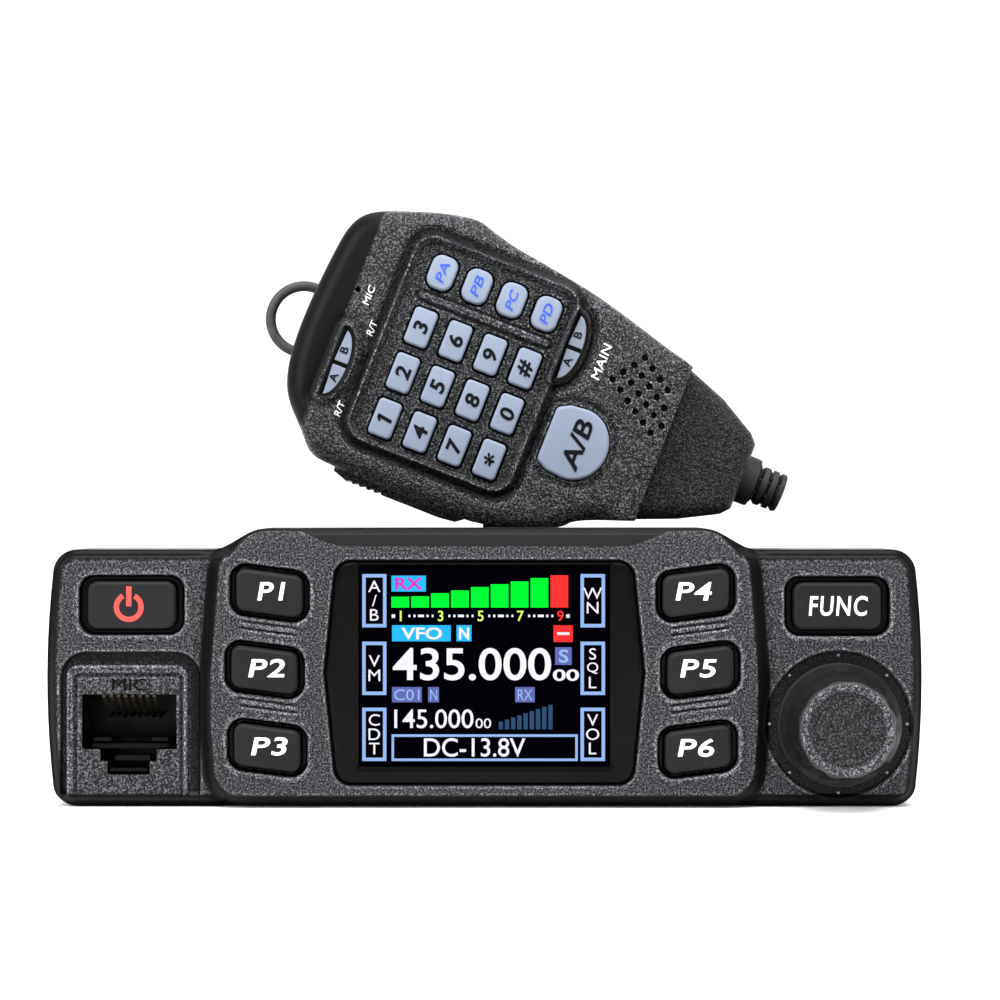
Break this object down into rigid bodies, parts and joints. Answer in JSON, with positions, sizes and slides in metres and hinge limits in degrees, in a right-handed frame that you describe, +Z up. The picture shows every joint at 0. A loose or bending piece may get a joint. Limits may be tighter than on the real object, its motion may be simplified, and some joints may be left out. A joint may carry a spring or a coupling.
{
  "type": "mobile transceiver",
  "caption": "Compact mobile two-way radio with a colour display, six sloped keys, a tuning knob and a keypad hand microphone resting on its cover.",
  "frame": {"origin": "centre of the whole object's footprint, on the surface it stands on", "axes": "+X to the viewer's right across the front panel, +Y from the front panel to the rear sockets, +Z up"},
  "size_m": [0.124, 0.1332, 0.0911],
  "materials": {
    "cast_body": "satin black paint on cast aluminium",
    "sheet_cover": "fine textured black paint on sheet steel",
    "dark_screw": "blackened steel",
    "panel_plastic": "spark-textured charcoal moulding",
    "plated_screw": "yellow passivated steel",
    "window_plastic": "smoked clear acrylic",
    "lcd": "display glass in a black frame",
    "circuit_board": "green solder mask",
    "key_rubber": "translucent silicone",
    "jack_plastic": "black nylon",
    "gilt": "gold-plated spring wire",
    "encoder_metal": "plated steel",
    "module_case": "black moulding",
    "speaker_parts": "black paper cone in a pressed basket",
    "nickel": "satin nickel plate",
    "ptfe": "white fluoroplastic",
    "inlet_plastic": "natural nylon with plated blades",
    "black_moulding": "black moulding",
    "bracket_paint": "black paint",
    "soft_key": "charcoal satin key",
    "knob_plastic": "black knob, polished skirt and textured face",
    "mic_case": "black moulding with a leather grain",
    "mic_pickup": "bright can",
    "boot_rubber": "black soft vinyl",
    "lamp_clear": "clear lens",
    "ring_metal": "dark coated steel wire",
    "pale_key": "pale blue silicone key"
  },
  "bodies": {
    "radio": {"chassis": "cast_body", "top_cover": "sheet_cover", "cover_screws": "dark_screw", "front_panel": "panel_plastic", "board_screws": "plated_screw", "display_window": "window_plastic", "lcd_module": "lcd", "control_board": "circuit_board", "key_mat": "key_rubber", "mic_jack": "jack_plastic", "mic_jack_contacts": "gilt", "rotary_encoder": "encoder_metal", "main_board": "circuit_board", "power_module": "module_case", "speaker": "speaker_parts", "antenna_socket": "nickel", "antenna_insulator": "ptfe", "antenna_contact": "gilt", "dc_socket": "inlet_plastic", "speaker_jack": "black_moulding", "mic_hanger": "bracket_paint"},
    "knob": {"knob": "knob_plastic", "encoder_shaft": "encoder_metal"},
    "mic": {"mic_front_shell": "mic_case", "mic_back_shell": "mic_case", "mic_tail_cover": "mic_case", "mic_board": "circuit_board", "mic_capsule": "mic_pickup", "mic_speaker": "speaker_parts", "mic_hang_button": "dark_screw", "mic_screws": "encoder_metal", "cable_boot": "boot_rubber", "lamp_lenses": "lamp_clear"},
    "ptt_bar": {"ptt_bar": "black_moulding"},
    "hang_ring": {"hang_ring": "ring_metal"},
    "power_button": {"power_button": "soft_key"},
    "func_button": {"func_button": "soft_key"},
    "key_p1": {"key_p1": "soft_key"},
    "key_p2": {"key_p2": "soft_key"},
    "key_p3": {"key_p3": "soft_key"},
    "key_p4": {"key_p4": "soft_key"},
    "key_p5": {"key_p5": "soft_key"},
    "key_p6": {"key_p6": "soft_key"},
    "mic_key_1": {"mic_key_1": "pale_key"},
    "mic_key_2": {"mic_key_2": "pale_key"},
    "mic_key_3": {"mic_key_3": "pale_key"},
    "mic_key_4": {"mic_key_4": "pale_key"},
    "mic_key_5": {"mic_key_5": "pale_key"},
    "mic_key_6": {"mic_key_6": "pale_key"},
    "mic_key_7": {"mic_key_7": "pale_key"},
    "mic_key_8": {"mic_key_8": "pale_key"},
    "mic_key_9": {"mic_key_9": "pale_key"},
    "mic_key_star": {"mic_key_star": "pale_key"},
    "mic_key_0": {"mic_key_0": "pale_key"},
    "mic_key_hash": {"mic_key_hash": "pale_key"},
    "mic_key_pa": {"mic_key_pa": "pale_key"},
    "mic_key_pb": {"mic_key_pb": "pale_key"},
    "mic_key_pc": {"mic_key_pc": "pale_key"},
    "mic_key_pd": {"mic_key_pd": "pale_key"},
    "mic_key_ab": {"mic_key_ab": "pale_key"}
  },
  "joints": [
    {"name": "power_press", "type": "slide", "parent": "radio", "child": "power_button", "axis": [0, 1, 0], "range_m": [0, 0.0008], "stiffness_N_per_m": 1500, "springref_m": -0.0002},
    {"name": "func_press", "type": "slide", "parent": "radio", "child": "func_button", "axis": [0, 1, 0], "range_m": [0, 0.0008], "stiffness_N_per_m": 1500, "springref_m": -0.0002},
    {"name": "key_p1_press", "type": "slide", "parent": "radio", "child": "key_p1", "axis": [0, 1, 0], "range_m": [0, 0.0008], "stiffness_N_per_m": 1500, "springref_m": -0.0002},
    {"name": "key_p2_press", "type": "slide", "parent": "radio", "child": "key_p2", "axis": [0, 1, 0], "range_m": [0, 0.0008], "stiffness_N_per_m": 1500, "springref_m": -0.0002},
    {"name": "key_p3_press", "type": "slide", "parent": "radio", "child": "key_p3", "axis": [0, 1, 0], "range_m": [0, 0.0008], "stiffness_N_per_m": 1500, "springref_m": -0.0002},
    {"name": "key_p4_press", "type": "slide", "parent": "radio", "child": "key_p4", "axis": [0, 1, 0], "range_m": [0, 0.0008], "stiffness_N_per_m": 1500, "springref_m": -0.0002},
    {"name": "key_p5_press", "type": "slide", "parent": "radio", "child": "key_p5", "axis": [0, 1, 0], "range_m": [0, 0.0008], "stiffness_N_per_m": 1500, "springref_m": -0.0002},
    {"name": "key_p6_press", "type": "slide", "parent": "radio", "child": "key_p6", "axis": [0, 1, 0], "range_m": [0, 0.0008], "stiffness_N_per_m": 1500, "springref_m": -0.0002},
    {"name": "knob_turn", "type": "hinge", "parent": "radio", "child": "knob", "pos_m": [0.0501, -0.06, 0.0118], "axis": [0, 1, 0], "continuous": true},
    {"name": "mic_lift", "type": "slide", "parent": "radio", "child": "mic", "axis": [0, 0, 1], "range_m": [0, 0.06]},
    {"name": "ptt_press", "type": "hinge", "parent": "mic", "child": "ptt_bar", "pos_m": [-0.00505, 0.011, 0.04247], "axis": [0, 1, 0], "range_deg": [0, 4], "stiffness_Nm_per_rad": 1.2, "springref_deg": -1.15},
    {"name": "ring_swing", "type": "hinge", "parent": "mic", "child": "hang_ring", "pos_m": [-0.02734, 0.0141, 0.07264], "axis": [0, 1, 0], "range_deg": [-30, 30]},
    {"name": "mic_1_press", "type": "slide", "parent": "mic", "child": "mic_key_1", "axis": [0, 1, 0], "range_m": [0, 0.0006], "stiffness_N_per_m": 1500, "springref_m": -0.0002},
    {"name": "mic_2_press", "type": "slide", "parent": "mic", "child": "mic_key_2", "axis": [0, 1, 0], "range_m": [0, 0.0006], "stiffness_N_per_m": 1500, "springref_m": -0.0002},
    {"name": "mic_3_press", "type": "slide", "parent": "mic", "child": "mic_key_3", "axis": [0, 1, 0], "range_m": [0, 0.0006], "stiffness_N_per_m": 1500, "springref_m": -0.0002},
    {"name": "mic_4_press", "type": "slide", "parent": "mic", "child": "mic_key_4", "axis": [0, 1, 0], "range_m": [0, 0.0006], "stiffness_N_per_m": 1500, "springref_m": -0.0002},
    {"name": "mic_5_press", "type": "slide", "parent": "mic", "child": "mic_key_5", "axis": [0, 1, 0], "range_m": [0, 0.0006], "stiffness_N_per_m": 1500, "springref_m": -0.0002},
    {"name": "mic_6_press", "type": "slide", "parent": "mic", "child": "mic_key_6", "axis": [0, 1, 0], "range_m": [0, 0.0006], "stiffness_N_per_m": 1500, "springref_m": -0.0002},
    {"name": "mic_7_press", "type": "slide", "parent": "mic", "child": "mic_key_7", "axis": [0, 1, 0], "range_m": [0, 0.0006], "stiffness_N_per_m": 1500, "springref_m": -0.0002},
    {"name": "mic_8_press", "type": "slide", "parent": "mic", "child": "mic_key_8", "axis": [0, 1, 0], "range_m": [0, 0.0006], "stiffness_N_per_m": 1500, "springref_m": -0.0002},
    {"name": "mic_9_press", "type": "slide", "parent": "mic", "child": "mic_key_9", "axis": [0, 1, 0], "range_m": [0, 0.0006], "stiffness_N_per_m": 1500, "springref_m": -0.0002},
    {"name": "mic_star_press", "type": "slide", "parent": "mic", "child": "mic_key_star", "axis": [0, 1, 0], "range_m": [0, 0.0006], "stiffness_N_per_m": 1500, "springref_m": -0.0002},
    {"name": "mic_0_press", "type": "slide", "parent": "mic", "child": "mic_key_0", "axis": [0, 1, 0], "range_m": [0, 0.0006], "stiffness_N_per_m": 1500, "springref_m": -0.0002},
    {"name": "mic_hash_press", "type": "slide", "parent": "mic", "child": "mic_key_hash", "axis": [0, 1, 0], "range_m": [0, 0.0006], "stiffness_N_per_m": 1500, "springref_m": -0.0002},
    {"name": "mic_pa_press", "type": "slide", "parent": "mic", "child": "mic_key_pa", "axis": [0, 1, 0], "range_m": [0, 0.0006], "stiffness_N_per_m": 1500, "springref_m": -0.0002},
    {"name": "mic_pb_press", "type": "slide", "parent": "mic", "child": "mic_key_pb", "axis": [0, 1, 0], "range_m": [0, 0.0006], "stiffness_N_per_m": 1500, "springref_m": -0.0002},
    {"name": "mic_pc_press", "type": "slide", "parent": "mic", "child": "mic_key_pc", "axis": [0, 1, 0], "range_m": [0, 0.0006], "stiffness_N_per_m": 1500, "springref_m": -0.0002},
    {"name": "mic_pd_press", "type": "slide", "parent": "mic", "child": "mic_key_pd", "axis": [0, 1, 0], "range_m": [0, 0.0006], "stiffness_N_per_m": 1500, "springref_m": -0.0002},
    {"name": "mic_ab_press", "type": "slide", "parent": "mic", "child": "mic_key_ab", "axis": [0, 1, 0], "range_m": [0, 0.0006], "stiffness_N_per_m": 1500, "springref_m": -0.0002}
  ]
}
